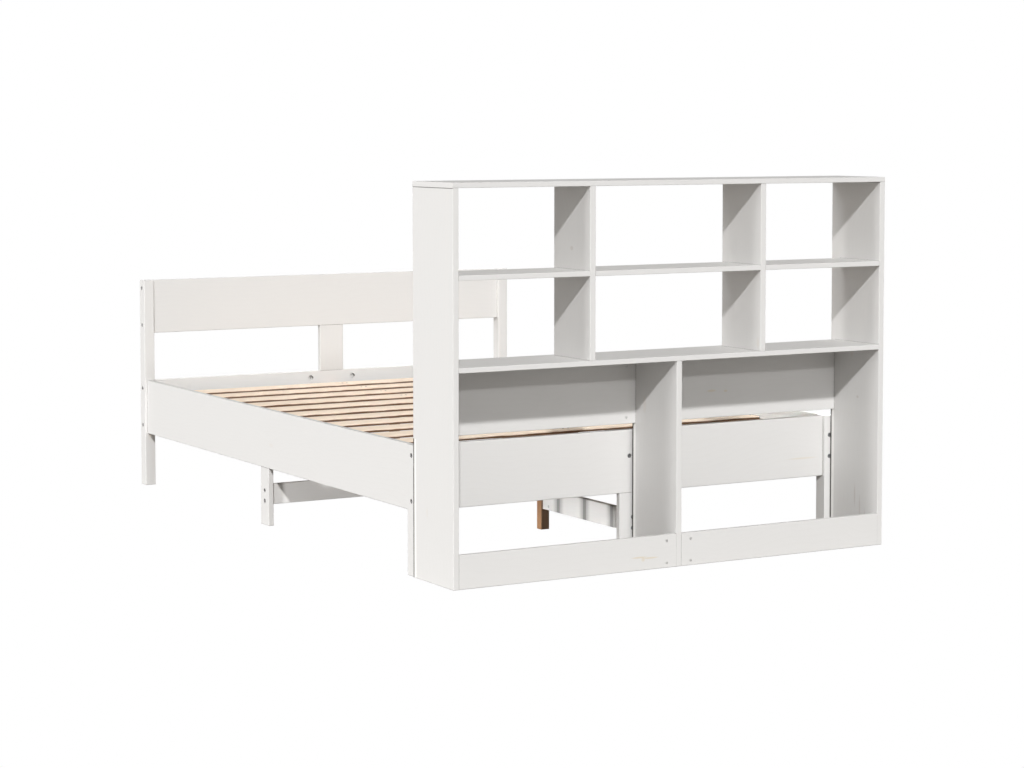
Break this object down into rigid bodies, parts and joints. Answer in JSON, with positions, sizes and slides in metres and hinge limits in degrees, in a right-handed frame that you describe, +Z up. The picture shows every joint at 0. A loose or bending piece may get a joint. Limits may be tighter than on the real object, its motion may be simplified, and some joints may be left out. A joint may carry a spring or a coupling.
{
  "type": "bookcase headboard bed",
  "caption": "Double bed frame in white painted pine with an open bookcase at the head, a low foot panel with windows, and slats in natural pine.",
  "frame": {"origin": "on the floor under the middle of the whole object", "axes": "+Z up, +Y from the bookcase to the foot along the bed's length, +X to the right seen from the open side of the bookcase"},
  "size_m": [1.5, 2.351, 1.13],
  "materials": {
    "painted_pine": "white paint over pine, satin",
    "natural_pine": "planed, unfinished",
    "zinc_steel": "zinc plated",
    "beech": "plain"
  },
  "bodies": {
    "root": {"back_panel_left": "painted_pine", "back_panel_right": "painted_pine", "bookcase_side_left": "painted_pine", "bookcase_side_right": "painted_pine", "bookcase_top": "painted_pine", "centre_divider": "painted_pine", "cross_board": "painted_pine", "foot_centre_board": "painted_pine", "foot_centre_leg": "painted_pine", "foot_post_left": "painted_pine", "foot_post_right": "painted_pine", "foot_rail": "painted_pine", "foot_top_board": "painted_pine", "head_centre_leg": "painted_pine", "head_post_left": "painted_pine", "head_post_right": "painted_pine", "head_rail": "painted_pine", "kick_board_left": "painted_pine", "kick_board_right": "painted_pine", "lower_shelf": "painted_pine", "side_leg_left": "painted_pine", "side_leg_right": "painted_pine", "side_rail_left": "painted_pine", "side_rail_right": "painted_pine", "stretcher_foot": "painted_pine", "stretcher_head": "painted_pine", "upper_divider_left": "painted_pine", "upper_divider_right": "painted_pine", "upper_shelf_left": "painted_pine", "upper_shelf_middle": "painted_pine", "upper_shelf_right": "painted_pine", "beam_leg_foot": "natural_pine", "beam_leg_head": "natural_pine", "centre_beam": "natural_pine", "slat_01": "natural_pine", "slat_02": "natural_pine", "slat_03": "natural_pine", "slat_04": "natural_pine", "slat_05": "natural_pine", "slat_06": "natural_pine", "slat_07": "natural_pine", "slat_08": "natural_pine", "slat_09": "natural_pine", "slat_10": "natural_pine", "slat_11": "natural_pine", "slat_12": "natural_pine", "slat_13": "natural_pine", "slat_ledge_left": "natural_pine", "slat_ledge_right": "natural_pine", "connector_bolts": "zinc_steel", "barrel_nuts": "zinc_steel", "connector_rods": "zinc_steel", "cross_connectors": "zinc_steel", "bed_dowels": "beech", "bookcase_dowels": "beech"}
  },
  "joints": []
}
